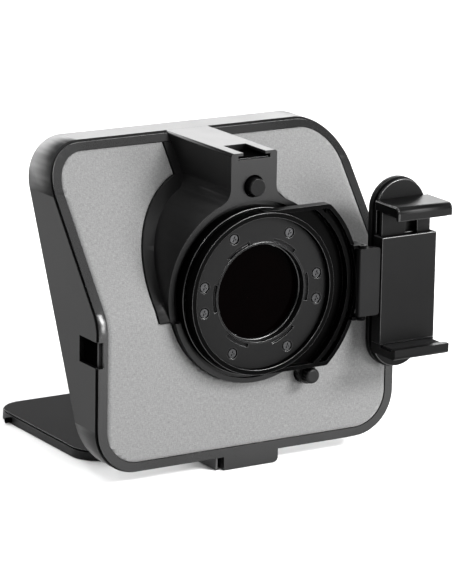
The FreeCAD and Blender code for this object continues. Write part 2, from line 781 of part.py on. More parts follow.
def make_thread_insert():
    """The brass insert with the bore of the 1/4 inch thread."""
    outer = rod("z", INSERT_RADIUS, (0.0, 7.0), (0.0, S.thread_setback))
    inner = rod("z", S.thread_radius, (-1.0, 6.4), (0.0, S.thread_setback))
    return part("thread_insert", cut(outer, inner))


def make_block_screws():
    """Two screws that hold the block to the hood's floor."""
    screws = [pan_screw(SCREW_SHANK, 5.2, 2.5, 1.5, V(side * BLOCK_SCREW_X, BLOCK_SCREW_Y, 2.0), V(0, 0, 1))
              for side in (-1, 1)]
    return part("block_screws", solid(Part.makeCompound(screws)))


def make_release_button():
    """The push button with its stem, and the latch bar that it moves."""
    height = S.button_height
    cap = rod("y", S.button_radius, (-4.3, 3.2), (0.0, height))
    nose = taper(S.button_radius - 0.5, S.button_radius, (-4.8, -4.3), (0.0, height))
    stem = rod("y", 1.8, (3.2, 9.6), (0.0, height))
    part("release_button", fuse(cap, nose, stem))
    bar = box((-3.0, 3.0), (7.6, 9.6), (S.lens_height + S.collar_out + LATCH_LOW, height + 2.4))
    eye = rod("y", 1.8, (7.0, 11.0), (0.0, height))
    return part("latch_bar", cut(bar, eye))


def coil(radius, wire, length, turns):
    """A coil spring along Z from the origin: tilted half turns that meet in line."""
    rise = length / turns / 2
    half_turn = math.hypot(radius, rise / 2)
    coils = []
    for n in range(2 * turns):
        side = 1 if n % 2 == 0 else -1
        start = V(side * radius, 0, n * rise)
        centre = V(0, 0, (n + 0.5) * rise)
        across = (start - centre).normalize()
        section = Part.Face(Part.Wire(Part.makeCircle(wire, centre + across * half_turn, V(0, 1, 0))))
        axis = across.cross(V(0, side, 0))
        coils.append(section.revolve(centre, axis, 180))
    return coils[0].fuse(coils[1:]).removeSplitter()


def make_button_spring():
    """The spring behind the latch bar that returns the button."""
    start = 9.65
    spring = coil(3.2, 0.35, BUTTON_FLOOR - start - 0.8, 6)
    spring.Placement = FreeCAD.Placement(V(0, start + 0.4, num(S.button_height)),
                                         FreeCAD.Rotation(V(0, 0, 1), V(0, 1, 0)))
    return part("button_spring", solid(spring))


# =============================================================== the lock knob
def make_lock_knob():
    """The small thumb screw beside the lens adapter."""
    x, z = S.knob_x, S.knob_height
    grip = rounded(rod("y", 4.0, (-9.6, -4.8), (x, z)), 1.3, lambda e: middle(e).y < -9.5)
    ribs = []
    for turn in range(0, 360, 30):
        way = math.radians(turn)
        ribs.append(rod("y", 0.6, (-9.0, -5.4), (x + 4.25 * math.cos(way), z + 4.25 * math.sin(way))))
    stem = rod("y", 1.5, (-4.8, 3.4), (x, z))
    return part("lock_knob", cut(fuse(grip, stem), *ribs))


# ============================================================ the lens adapter
def half_disc_region(radius, rear, front):
    """The D-shaped area to the right of the lens axis, between the two flats."""
    disc = rod("y", radius, (rear, front), (0.0, S.lens_height))
    cap = box((0.0, S.plate_round), (rear, front),
              (S.lens_height - S.plate_half, S.lens_height + S.plate_half))
    return common(disc, cap)


def make_adapter_spigot():
    """The ring that plugs into the collar, with the web that the disc is screwed to."""
    zc = S.lens_height
    spigot = rod("y", S.spigot_out, (S.rib_face, 6.0), (0.0, zc))
    through = rod("y", S.spigot_in, (-30.0, -6.2), (0.0, zc))
    throat = rod("y", 26.0, (-30.0, 30.0), (0.0, zc))
    back = rod("y", S.spigot_in, (-3.4, 30.0), (0.0, zc))
    holes = [screw_hole(angle, 1.25) for angle in SCREW_ANGLES]
    return part("adapter_spigot", cut(spigot, through, throat, back, *holes))


def make_adapter_plate():
    """The D-shaped plate round the spigot, with its ribs, channels and two hinge lugs."""
    zc = S.lens_height
    plate = rounded(half_disc_region(S.plate_round, S.plate_face, S.plate_back), 2.4,
                    lambda e: along(e, "y") and middle(e).x > 30)
    # wide outer channel, between the rim and the second rib
    rim = S.plate_rim
    inner_flat = (zc - S.plate_half + rim, zc + S.plate_half - rim)
    channel = common(rod("y", S.plate_round - rim, (S.plate_face - 1, -8.4), (0.0, zc)),
                     box((0.0, 70.0), (-20.0, 0.0), inner_flat))
    rib_zone = rod("y", 52.0, (-20.0, 0.0), (0.0, zc))
    channel = cut(channel, rib_zone)
    # deep inner channel, between the second rib and the spigot
    deep = common(rod("y", 50.0, (S.plate_face - 1, -7.0), (0.0, zc)),
                  box((0.0, 70.0), (-20.0, 0.0), inner_flat))
    lugs = []
    for side in (-1, 1):
        low = zc + side * (S.arm_tall + 0.3) - (1.6 if side < 0 else 0.0)
        ear = rod("z", S.barrel, (low, low + 1.6), (S.pin_x, S.pin_y))
        web = box((51.5, S.pin_x + 1.4), (S.pin_y, S.plate_back), (low, low + 1.6))
        lugs.extend([ear, web])
    # a small three-sided pocket at each end of the outer channel
    pockets = [cut(box((30.0, 38.2), (-9.0, -6.7), (zc + low, zc + high)), rib_zone)
               for low, high in ((33.0, 39.9), (-39.9, -33.0))]
    body = fuse(cut(plate, channel, deep, *pockets), *lugs)
    seat = rod("y", S.spigot_out + 0.02, (-30.0, 30.0), (0.0, zc))
    pin = rod("z", S.pin_radius, (zc - 30, zc + 30), (S.pin_x, S.pin_y))
    return part("adapter_plate", cut(body, seat, pin))


SCREW_ANGLES = [11.3, 61.2, 118.8, 168.7, 191.3, 241.2, 298.8, 348.7]


def on_circle(radius, angle):
    """X and Z of a point on a circle about the lens axis."""
    turn = math.radians(angle)
    return radius * math.cos(turn), S.lens_height + radius * math.sin(turn)


def screw_hole(angle, radius, span=(-30.0, 30.0)):
    x, z = on_circle(num(S.screw_circle), angle)
    return rod("y", radius, span, (x, z))


def make_ring_disc():
    """The clamp disc: eight countersunk screws, six arc slots and a raised lip."""
    zc = S.lens_height
    disc = rod("y", S.spigot_in - 0.1, (S.disc_face, -6.2), (0.0, zc))
    lip = rod("y", S.aperture + 1.0, (S.disc_face - 0.4, S.disc_face), (0.0, zc))
    tools = [rod("y", S.aperture + 0.02, (-30.0, 0.0), (0.0, zc))]
    tools += [screw_hole(angle, 1.3) for angle in SCREW_ANGLES]
    tools += [screw_hole(angle, 2.9, (S.disc_face - 1, -8.0)) for angle in SCREW_ANGLES]
    slots = []
    for turn in range(30, 390, 60):
        slots.append(arc_slot(num(S.slot_circle) - 0.9, num(S.slot_circle) + 0.9, turn, 15.0))
    tools.append(solid(Part.makeCompound(slots)))
    return part("ring_disc", cut(fuse(disc, lip), *tools))


def arc_slot(inner, outer, turn, spread):
    """A bent slot in the disc, reaching spread degrees to each side of turn."""
    start = V(0, num(S.disc_face) - 1, num(S.lens_height))
    sector = Part.makeCylinder(outer, 2.2, start, V(0, 1, 0), 2 * spread)
    sector = sector.cut(Part.makeCylinder(inner, 2.2, start, V(0, 1, 0)))
    sector.rotate(start, V(0, 1, 0), -turn - spread)
    return sector


def make_ring_screws():
    screws = []
    for angle in SCREW_ANGLES:
        x, z = on_circle(num(S.screw_circle), angle)
        screws.append(pan_screw(1.2, 4.4, 2.15, 0.9, V(x, -8.0, num(z)), V(0, 1, 0)))
    return part("ring_screws", solid(Part.makeCompound(screws)))


def make_lens_window():
    """The dark coated glass in the aperture, in a short tube, held by a ring."""
    zc = S.lens_height
    tube = cut(rod("y", 25.9, (-6.15, 4.0), (0.0, zc)), rod("y", S.aperture - 0.9, (-10.0, 10.0), (0.0, zc)))
    part("aperture_tube", tube)
    glass = rod("y", S.aperture - 1.0, (-4.0, -2.2), (0.0, zc))
    part("aperture_glass", glass)
    ring = cut(rod("y", S.aperture - 1.0, (-2.1, -0.9), (0.0, zc)), rod("y", 22.4, (-5.0, 5.0), (0.0, zc)))
    return part("glass_retainer", ring)


def make_arm_pin():
    zc = S.lens_height
    return part("arm_hinge_pin", rod("z", S.pin_radius - 0.05, (zc - S.arm_tall - 1.6, zc + S.arm_tall + 1.0),
                                     (S.pin_x, S.pin_y)))


# =============================================================== the phone arm
def make_phone_arm():
    """The folding plate between the lens adapter and the phone clamp's rail."""
    zc = S.lens_height
    tall = (zc - S.arm_tall, zc + S.arm_tall)
    right = S.rail_x - S.rail_half - 1.4
    leaf = rounded(box((S.pin_x - S.barrel, right), (S.arm_face, S.pin_y + 1.9), tall), 0.8,
                   lambda e: along(e, "z") and middle(e).x < num(S.pin_x))
    leaf = rounded(leaf, 1.6, lambda e: along(e, "y") and middle(e).x > num(S.pin_x) + 1)
    block = box((S.pin_x + 2.4, right), (S.pin_y, -3.2), (zc - 15.8, zc + 15.8))
    tongue = box((S.pin_x + 3.0, 76.0), (-5.4, -3.4), (zc - 15, zc + 15))
    tunnel = rod("z", S.pin_radius + 0.05, (zc - 30, zc + 30), (S.pin_x, S.pin_y))
    return part("phone_arm", cut(fuse(leaf, block, tongue), tunnel))


def obround(inset, rear, front):
    """A plate with round ends on the rail's centre line, its outline moved in."""
    x, z = S.rail_x, S.rail_height
    half = S.rail_half - inset
    reach = S.rail_tall - S.rail_half
    strip = box((x - half, x + half), (rear, front), (z - reach, z + reach))
    ends = [rod("y", half, (rear, front), (x, z + side * reach)) for side in (-1, 1)]
    return fuse(strip, *ends)


RAIL_SPAN = 21.0


def make_rail():
    """The upright rail: a back plate with a T channel, and a cover set in a little."""
    zc = S.lens_height
    x = S.rail_x
    plate = obround(0.0, -5.5, -2.5)
    channel = box((x - 5.3, x + 5.3), (-6.0, -3.5), (zc - RAIL_SPAN, zc + RAIL_SPAN))
    pocket_box = box((66.0, 76.2), (-6.0, -3.3), (zc - 15.2, zc + 15.2))
    part("clamp_rail", cut(plate, channel, pocket_box))
    cover = obround(0.8, -8.5, -6.3)
    step = obround(1.8, -6.3, -5.5)
    slot = box((x - 2.8, x + 2.8), (-9.0, -5.0), (zc - RAIL_SPAN, zc + RAIL_SPAN))
    return part("rail_cover", cut(fuse(cover, step), slot))


# ============================================================= the phone clamp
CLAMP_WIDE = (S.rail_x - S.clamp_half, S.rail_x + S.clamp_half)
STEM_LOW = num(S.lens_height) - 14.0
SPRING_X = (77.0, 95.4)
SPRING_Y = -13.0


def make_clamp_body():
    """The clamp's housing, open at the top for the sliding jaw's stem."""
    shell = box(CLAMP_WIDE, (S.clamp_face, -9.0), (S.clamp_low, S.clamp_high))
    cavity = box((CLAMP_WIDE[0] + 1.4, CLAMP_WIDE[1] - 1.2), (S.clamp_face + 1.3, -10.4),
                 (S.clamp_low + 2.4, S.clamp_high + 1))
    return part("clamp_body", cut(shell, cavity))


def make_slide_shoe():
    """The T-shaped shoe that runs in the rail and carries the clamp."""
    zc = S.lens_height
    x = S.rail_x
    neck = box((x - 2.5, x + 2.5), (-9.0, -5.2), (zc - 11, zc + 11))
    head = box((x - 4.95, x + 4.95), (-5.2, -3.8), (zc - 11, zc + 11))
    return part("slide_shoe", fuse(neck, head))


def make_lower_jaw():
    """The fixed lower jaw: a shelf with a raised lip, and its rubber pad."""
    shelf = box(CLAMP_WIDE, (S.jaw_reach, -9.0), (S.jaw_foot, S.jaw_foot + 3.8))
    foot = box(CLAMP_WIDE, (S.clamp_face, -9.0), (S.jaw_foot + 3.8, S.clamp_low))
    lip = box(CLAMP_WIDE, (S.jaw_reach, S.jaw_reach + 3.4), (S.jaw_foot + 3.8, S.jaw_foot + 5.5))
    jaw = fuse(shelf, foot, lip)
    rear = num(S.jaw_reach) + 0.1
    part("lower_jaw", rounded(jaw, 2.0, lambda e: along(e, "x") and middle(e).y < rear
                              and middle(e).z < num(S.jaw_foot) + 0.1))
    across = (CLAMP_WIDE[0] + 1.5, CLAMP_WIDE[1] - 1.5)
    return part("lower_jaw_pad", box(across, (S.jaw_reach + 3.6, S.clamp_face - 0.2),
                                     (S.jaw_foot + 3.8, S.jaw_foot + 5.0)))


def make_upper_jaw():
    """The spring-loaded upper jaw, its stem with an open slot, and its rubber pad."""
    top = S.jaw_top
    under = top - 5.0
    shelf = box(CLAMP_WIDE, (S.jaw_reach, -9.0), (under, top))
    lip = box(CLAMP_WIDE, (S.jaw_reach, S.jaw_reach + 3.0), (top - 6.6, under))
    rear = num(S.jaw_reach) + 0.1
    part("upper_jaw", rounded(fuse(shelf, lip), 3.2, lambda e: along(e, "x") and middle(e).y < rear
                              and middle(e).z > num(top) - 0.1))
    across = (CLAMP_WIDE[0] + 2.0, CLAMP_WIDE[1] - 1.5)
    stem = box(across, (-13.2, -10.9), (STEM_LOW, under))
    slot = box((S.rail_x - 0.2, S.rail_x + 7.0), (-20.0, -5.0), (STEM_LOW + 6.0, under - 2.0))
    part("jaw_stem", cut(stem, slot))
    skin = box(across, (S.jaw_reach + 3.1, -13.4), (under - 1.3, under))
    bead = box(across, (S.jaw_reach + 3.1, S.jaw_reach + 5.1), (top - 7.6, under - 1.3))
    return part("upper_jaw_pad", fuse(skin, bead))


def make_clamp_springs():
    """Two springs under the stem, each round a rod on the housing's floor."""
    floor = num(S.clamp_low) + 2.4
    coils = []
    rods = []
    for x in SPRING_X:
        spring = coil(1.7, 0.3, STEM_LOW - floor - 0.7, 12)
        spring.translate(V(x, SPRING_Y, floor + 0.35))
        coils.append(spring)
        rods.append(rod("z", 1.0, (floor, floor + 10.0), (x, SPRING_Y)))
    part("clamp_springs", solid(Part.makeCompound(coils)))
    return part("guide_rods", group(*rods))


# ==================================================================== the tray
def tray_plate(inset, low, high, name):
    """A rounded plate with a shallow notch at the rear for the block's knuckle."""
    body = new_body(name)
    plan = new_sketch(body, "xy", low)
    half = S.tray_half - inset
    rear = S.tray_rear + inset
    gap = S.block_half + 0.4
    step = S.hinge_y + 2.7 + inset
    outline(plan, [
        (-half, rear), (-gap, rear), (-gap, step), (gap, step),
        (gap, rear), (half, rear), (half, S.tray_front - inset), (-half, S.tray_front - inset),
    ])
    pad(body, plan, high - low)
    round_body(body, S.tray_round - inset,
               lambda e: along(e, "z") and abs(abs(middle(e).x) - num(half)) < 0.1)
    return body


def make_tray():
    """The hinged tray: a base with two ears, a thin bonding layer and the plate on top."""
    top = S.tray_thick
    base = tray_plate(0.0, 0.0, top, "TrayBase")
    doc.recompute()
    ears = []
    for side in (-1, 1):
        near = S.block_half + 0.4
        across = (near, near + 7.0) if side > 0 else (-near - 7.0, -near)
        ears.append(rod("x", S.hinge_z, across, (S.hinge_y, S.hinge_z)))
        ears.append(box(across, (S.hinge_y, S.tray_rear + 1.0), (0.0, top)))
    pin = rod("x", S.hinge_pin, (-25.0, 25.0), (S.hinge_y, S.hinge_z))
    holes = [rod("x", 1.5, span, (TRAY_PIN_Y, TRAY_PIN_Z)) for span in ((-80.0, -66.0), (66.0, 80.0))]
    part("tray_base", cut(fuse(base, *ears), pin, *holes))
    part("tray_bond", tray_plate(2.0, top, top + 0.35, "TrayBond"))
    part("tray_top_plate", tray_plate(0.6, top + 0.35, top + 0.8, "TrayTop"))
    part("tray_latch_pins", group(*[rod("x", 1.5, span, (TRAY_PIN_Y, TRAY_PIN_Z))
                                    for span in ((-73.4, -66.0), (66.0, 73.4))]))
    return part("tray_hinge_pin", rod("x", S.hinge_pin - 0.03, (-25.0, 25.0), (S.hinge_y, S.hinge_z)))


TRAY_PIN_Z = 1.9
TRAY_PIN_Y = 124.5


# ======================================================================= build
make_hood_shell()
make_notch_covers()
make_rear_frame()
make_fabric_panel()
make_panel_board()
make_frame_screws()
make_lens_housing()
make_shoe_plate()
make_collar()
make_glass()
make_tripod_block()
make_thread_insert()
make_block_screws()
make_release_button()
make_button_spring()
make_lock_knob()
make_adapter_spigot()
make_adapter_plate()
make_ring_disc()
make_ring_screws()
make_lens_window()
make_arm_pin()
make_phone_arm()
make_rail()
make_clamp_body()
make_slide_shoe()
make_lower_jaw()
make_upper_jaw()
make_clamp_springs()
make_tray()
doc.recompute()

for thing in doc.Objects:
    if "Invalid" in thing.State or "Error" in thing.State:
        raise ValueError("%s (%s) failed: %s" % (thing.Name, thing.Label, thing.State))
for thing in PARTS:
    if thing.Shape.isNull() or not thing.Shape.isValid() or thing.Shape.Volume <= 0:
        raise ValueError(thing.Label + " has no valid solid")

os.makedirs("parts", exist_ok=True)
for thing in PARTS:
    thing.Shape.exportStep("parts/%s.step" % thing.Label)
    print("%-18s %2d solids %10.1f mm3" % (thing.Label, len(thing.Shape.Solids), thing.Shape.Volume))
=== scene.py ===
import json
import math

import bmesh
import bpy
from mathutils import Matrix, Vector


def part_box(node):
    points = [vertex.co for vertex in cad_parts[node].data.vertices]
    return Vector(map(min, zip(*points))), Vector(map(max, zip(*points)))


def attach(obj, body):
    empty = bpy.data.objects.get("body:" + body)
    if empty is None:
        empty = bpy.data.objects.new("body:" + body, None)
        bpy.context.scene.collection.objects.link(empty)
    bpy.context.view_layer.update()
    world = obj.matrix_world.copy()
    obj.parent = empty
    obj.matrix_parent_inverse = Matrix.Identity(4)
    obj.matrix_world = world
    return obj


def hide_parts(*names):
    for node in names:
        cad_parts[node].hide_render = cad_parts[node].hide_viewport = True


# Looks for the teleprompter: procedural finishes on the CAD parts, a stretched fabric sheet
# over the leaning back, soft studio light, and a camera on the lens side, a little above it.
# Metres, except where a comment says millimetres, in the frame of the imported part.

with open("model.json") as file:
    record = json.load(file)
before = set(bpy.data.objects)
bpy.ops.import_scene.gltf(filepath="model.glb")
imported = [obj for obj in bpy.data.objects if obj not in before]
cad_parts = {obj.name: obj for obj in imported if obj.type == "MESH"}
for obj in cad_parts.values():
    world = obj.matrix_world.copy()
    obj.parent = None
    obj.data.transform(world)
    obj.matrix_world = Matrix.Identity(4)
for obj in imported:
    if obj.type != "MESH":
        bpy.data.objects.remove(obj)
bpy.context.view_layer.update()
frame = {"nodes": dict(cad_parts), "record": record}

MM = 0.001


# ------------------------------------------------------------------ camera
CAMERA_AZIMUTH = math.radians(-31.4)
CAMERA_ELEVATION = math.radians(14.4)
CAMERA_ROLL = math.radians(0.9)
CAMERA_DISTANCE = 1.718
CAMERA_TARGET = Vector((-0.0148, -0.019, 0.0931))
CAMERA_LENS = 212.5
CAMERA_SENSOR = 36
CAMERA_FAR = 20


def make_camera():
    """A long lens, looking down a little at the camera side of the part."""
    across = Vector((math.cos(CAMERA_AZIMUTH), math.sin(CAMERA_AZIMUTH), 0))
    back = Vector((
        math.sin(CAMERA_AZIMUTH) * math.cos(CAMERA_ELEVATION),
        -math.cos(CAMERA_AZIMUTH) * math.cos(CAMERA_ELEVATION),
        math.sin(CAMERA_ELEVATION),
    ))
    above = back.cross(across)
    right = math.cos(CAMERA_ROLL) * across + math.sin(CAMERA_ROLL) * above
    up = back.cross(right)
    data = bpy.data.cameras.new("camera")
    data.lens = CAMERA_LENS
    data.sensor_width = CAMERA_SENSOR
    data.clip_end = CAMERA_FAR
    camera = bpy.data.objects.new("camera", data)
    bpy.context.scene.collection.objects.link(camera)
    turn = Matrix((right, up, back)).transposed().to_4x4()
    camera.matrix_world = Matrix.Translation(CAMERA_TARGET + back * CAMERA_DISTANCE) @ turn
    bpy.context.scene.camera = camera


# ------------------------------------------------------------------ shader helpers
class Shader:
    """A material's node tree, with short calls for what the finishes share."""

    def __init__(self, name):
        self.material = bpy.data.materials.new(name)
        self.material.use_nodes = True
        self.tree = self.material.node_tree
        self.surface = self.tree.nodes["Principled BSDF"]

    def node(self, kind, **values):
        """A new node, with its own properties set."""
        made = self.tree.nodes.new(kind)
        for key, value in values.items():
            setattr(made, key, value)
        return made

    def link(self, source, target):
        """Join an output socket to an input socket."""
        self.tree.links.new(source, target)

    def set(self, **values):
        """Constant values on the surface shader's own sockets."""
        for key, value in values.items():
            self.surface.inputs[key.replace("_", " ")].default_value = value

    def noise(self, coordinates, scale, detail=2.0, roughness=0.5):
        """Fractal noise from 0 to 1, with scale cells to each unit of the coordinates."""
        made = self.node("ShaderNodeTexNoise")
        made.inputs["Scale"].default_value = scale
        made.inputs["Detail"].default_value = detail
        made.inputs["Roughness"].default_value = roughness
        self.link(coordinates, made.inputs["Vector"])
        return made.outputs["Fac"]

    def ramp(self, value, low, high, start=0.3, end=0.7):
        """A colour ramp between two greys or colours."""
        made = self.node("ShaderNodeValToRGB")
        made.color_ramp.elements[0].position = start
        made.color_ramp.elements[1].position = end
        made.color_ramp.elements[0].color = (*low, 1)
        made.color_ramp.elements[1].color = (*high, 1)
        self.link(value, made.inputs["Fac"])
        return made.outputs["Color"]

    def span(self, value, low, high):
        """Map a 0 to 1 value to a range."""
        made = self.node("ShaderNodeMapRange")
        made.inputs["To Min"].default_value = low
        made.inputs["To Max"].default_value = high
        self.link(value, made.inputs["Value"])
        return made.outputs["Result"]

    def weighted(self, *parts):
        """The sum of some values, each times its own share."""
        total = None
        for value, share in parts:
            piece = self.math("MULTIPLY", value, share)
            total = piece if total is None else self.math("ADD", total, piece)
        return total

    def colour(self, source):
        """Drive the surface's colour."""
        self.link(source, self.surface.inputs["Base Color"])

    def roughness(self, value, low, high):
        """Drive the surface's roughness from low to high with a 0 to 1 value."""
        self.link(self.span(value, low, high), self.surface.inputs["Roughness"])

    def math(self, operation, first, second):
        """One arithmetic step on two sockets or numbers."""
        made = self.node("ShaderNodeMath", operation=operation)
        for socket, value in zip(made.inputs, (first, second)):
            if isinstance(value, (int, float)):
                socket.default_value = value
            else:
                self.link(value, socket)
        return made.outputs["Value"]

    def bump(self, height, distance, strength=1.0):
        """Shade the surface as if it stood out by height times distance."""
        made = self.node("ShaderNodeBump")
        made.inputs["Distance"].default_value = distance
        made.inputs["Strength"].default_value = strength
        self.link(height, made.inputs["Height"])
        self.link(made.outputs["Normal"], self.surface.inputs["Normal"])

    def object_space(self):
        """The object's own coordinates, in metres."""
        return self.node("ShaderNodeTexCoord").outputs["Object"]

    def stretched(self, coordinates, scale):
        """Coordinates scaled by axis, for grain that runs one way."""
        made = self.node("ShaderNodeMapping")
        made.inputs["Scale"].default_value = scale
        self.link(coordinates, made.inputs["Vector"])
        return made.outputs["Vector"]


BLUE_TRACE = 1.03


def grey(value):
    """A grey with a trace of blue."""
    return (value, value, value * BLUE_TRACE)


# How far the painted shade in crevices reaches.
CREVICE_SHADE_SAMPLES = 8
MOULDED_CREVICE_SHADE = 10.0 * MM
COATED_CREVICE_SHADE = 12.0 * MM
# Noise cells to a metre.
MOULDED_CLOUDS = 28.0
COATED_CLOUDS = 60.0
COATED_GRAIN = 4200.0
EDGE_PATCHES = 350.0
DRAWN_LINES = 300.0
POROUS_CLOUDS = 200.0
GLASS_SMEARS = 90.0
GLASS_DUST = 120.0
FLOOR_CLOUDS = 3.0
# How far each relief stands out.
COATED_RELIEF = 0.006 * MM
DRAWN_RELIEF = 0.004 * MM
PORE_RELIEF = 0.03 * MM
WEAVE_RELIEF = 0.06 * MM


def paint_crevice_shade(s, colour, reach):
    """Painted shade: less colour where other surfaces, within reach, close this one in."""
    crevice_shade = s.node("ShaderNodeAmbientOcclusion", samples=CREVICE_SHADE_SAMPLES)
    crevice_shade.inputs["Distance"].default_value = reach
    s.link(colour, crevice_shade.inputs["Color"])
    s.colour(crevice_shade.outputs["Color"])


def moulded(name, shade, roughness, specular, grain=0.35, relief=0.012):
    """Moulded plastic: a spark-eroded grain, faint flow clouding and painted shade in crevices.

    grain is the size of the spark marks and relief is their depth, in millimetres.
    """
    s = Shader(name)
    place = s.object_space()
    cloud = s.noise(place, MOULDED_CLOUDS, 3.0)
    fine = s.noise(place, 1.0 / (grain * MM), 2.0)
    tone = s.ramp(cloud, grey(shade * 0.82), grey(shade * 1.22))
    # Painted shade in crevices, where nearby surfaces close this one in.
    paint_crevice_shade(s, tone, MOULDED_CREVICE_SHADE)
    both = s.weighted((cloud, 0.6), (fine, 0.4))
    s.roughness(both, roughness - 0.07, roughness + 0.07)
    s.set(Specular_IOR_Level=specular)
    s.bump(fine, relief * MM)
    return s.material


def coated_metal(name, shade, roughness, specular):
    """Black coated metal, anodised or blackened: a very fine grain and painted shade in
    crevices.
    """
    s = Shader(name)
    place = s.object_space()
    fine = s.noise(place, COATED_GRAIN, 1.5)
    cloud = s.noise(place, COATED_CLOUDS, 2.0)
    tone = s.ramp(cloud, grey(shade * 0.85), grey(shade * 1.15))
    # Painted shade in crevices, where nearby surfaces close this one in.
    paint_crevice_shade(s, tone, COATED_CREVICE_SHADE)
    s.roughness(fine, roughness - 0.08, roughness + 0.08)
    s.set(Specular_IOR_Level=specular)
    s.bump(fine, COATED_RELIEF)
    return s.material


def glossy_edge_painted_highlight(name):
    """The thin rounded edges of black parts: glossier than the faces, with a lighter colour
    painted on as a highlight.
    """
    s = Shader(name)
    edge_patches = s.noise(s.object_space(), EDGE_PATCHES, 2.0)
    # Painted highlight: the edges' colour is lighter than that of the faces beside them.
    s.colour(s.ramp(edge_patches, grey(0.004), grey(0.010)))
    s.roughness(edge_patches, 0.14, 0.28)
    s.set(Specular_IOR_Level=0.42)
    return s.material


LINES_ALONG_Z = (1.0, 1.0, 0.05)


def drawn_metal(name, colour, roughness):
    """Metal, bare or blackened, with fine drawn lines along Z."""
    s = Shader(name)
    lines = s.noise(s.stretched(s.object_space(), LINES_ALONG_Z), DRAWN_LINES, 3.0)
    low = tuple(c * 0.8 for c in colour)
    s.colour(s.ramp(lines, low, colour))
    s.roughness(lines, roughness - 0.1, roughness + 0.1)
    s.set(Metallic=1.0)
    s.bump(lines, DRAWN_RELIEF)
    return s.material


def porous(name, shade, pore, specular=0.04):
    """Rubber, foam or a bond layer: matte, with pores of the given size in millimetres."""
    s = Shader(name)
    place = s.object_space()
    pores = s.node("ShaderNodeTexVoronoi")
    pores.inputs["Scale"].default_value = 1.0 / (pore * MM)
    s.link(place, pores.inputs["Vector"])
    clouds = s.noise(place, POROUS_CLOUDS)
    s.colour(s.ramp(clouds, grey(shade * 0.8), grey(shade * 1.25)))
    s.roughness(pores.outputs["Distance"], 0.72, 0.92)
    s.set(Specular_IOR_Level=specular)
    s.bump(pores.outputs["Distance"], PORE_RELIEF)
    return s.material


def lens_glass(name, colour, roughness):
    """Coated optical glass, nearly black with a faint red-brown cast."""
    s = Shader(name)
    smear = s.noise(s.object_space(), GLASS_SMEARS, 2.0)
    s.colour(s.ramp(smear, tuple(c * 0.7 for c in colour), colour))
    s.roughness(smear, roughness, roughness + 0.03)
    s.set(Specular_IOR_Level=0.004)
    return s.material


def mirror_glass(name):
    """The beam splitter: thin glass that lets most light through and mirrors the rest."""
    s = Shader(name)
    s.set(Base_Color=(0.86, 0.92, 0.92, 1), Transmission_Weight=1.0)
    s.set(IOR=1.5, Specular_IOR_Level=0.9)
    s.roughness(s.noise(s.object_space(), GLASS_DUST, 3.0), 0.0, 0.03)
    return s.material


# The wave texture's bands are WAVE_BAND wide at a scale of 1; a band stands for a thread.
THREAD_PITCH = 0.42 * MM
WAVE_BAND = 0.314
DARK_YARN = (0.077, 0.077, 0.077)
LIGHT_YARN = (0.164, 0.164, 0.164)
# Slubs to a metre, along a yarn and across it, and specks to a metre.
SLUBS_ALONG = 520
SLUBS_ACROSS = 2200
SPECKS = 2400.0


def heather_cloth(name):
    """Plain-woven heather cloth: mixed light and dark yarns, slubs along both thread ways."""
    s = Shader(name)
    place = s.node("ShaderNodeUVMap", uv_map="Cloth").outputs["UV"]
    warp = s.node("ShaderNodeTexWave", bands_direction="X")
    weft = s.node("ShaderNodeTexWave", bands_direction="Y")
    for wave in (warp, weft):
        wave.inputs["Scale"].default_value = WAVE_BAND / THREAD_PITCH
        wave.inputs["Distortion"].default_value = 0.6
        wave.inputs["Detail"].default_value = 1.0
        wave.inputs["Detail Scale"].default_value = 2.0
        s.link(place, wave.inputs["Vector"])
    weave = s.math("MULTIPLY", warp.outputs["Fac"], weft.outputs["Fac"])
    slub_up = s.noise(s.stretched(place, (SLUBS_ACROSS, SLUBS_ALONG, 1)), 1.0, 2.0)
    slub_across = s.noise(s.stretched(place, (SLUBS_ALONG, SLUBS_ACROSS, 1)), 1.0, 2.0)
    speck = s.noise(place, SPECKS, 2.0, 0.7)
    mottle = s.weighted((slub_up, 0.35), (slub_across, 0.30), (speck, 0.35))
    yarn = s.ramp(mottle, DARK_YARN, LIGHT_YARN, 0.34, 0.66)
    shade = s.node("ShaderNodeMix", data_type="RGBA", blend_type="MULTIPLY")
    shade.inputs["Factor"].default_value = 0.3
    s.link(yarn, shade.inputs["A"])
    s.link(weave, shade.inputs["B"])
    s.colour(shade.outputs["Result"])
    s.set(Roughness=0.92, Specular_IOR_Level=0.15, Sheen_Weight=0.25, Sheen_Roughness=0.5)
    s.bump(s.math("ADD", weave, s.math("MULTIPLY", mottle, 0.6)), WEAVE_RELIEF, 0.8)
    return s.material


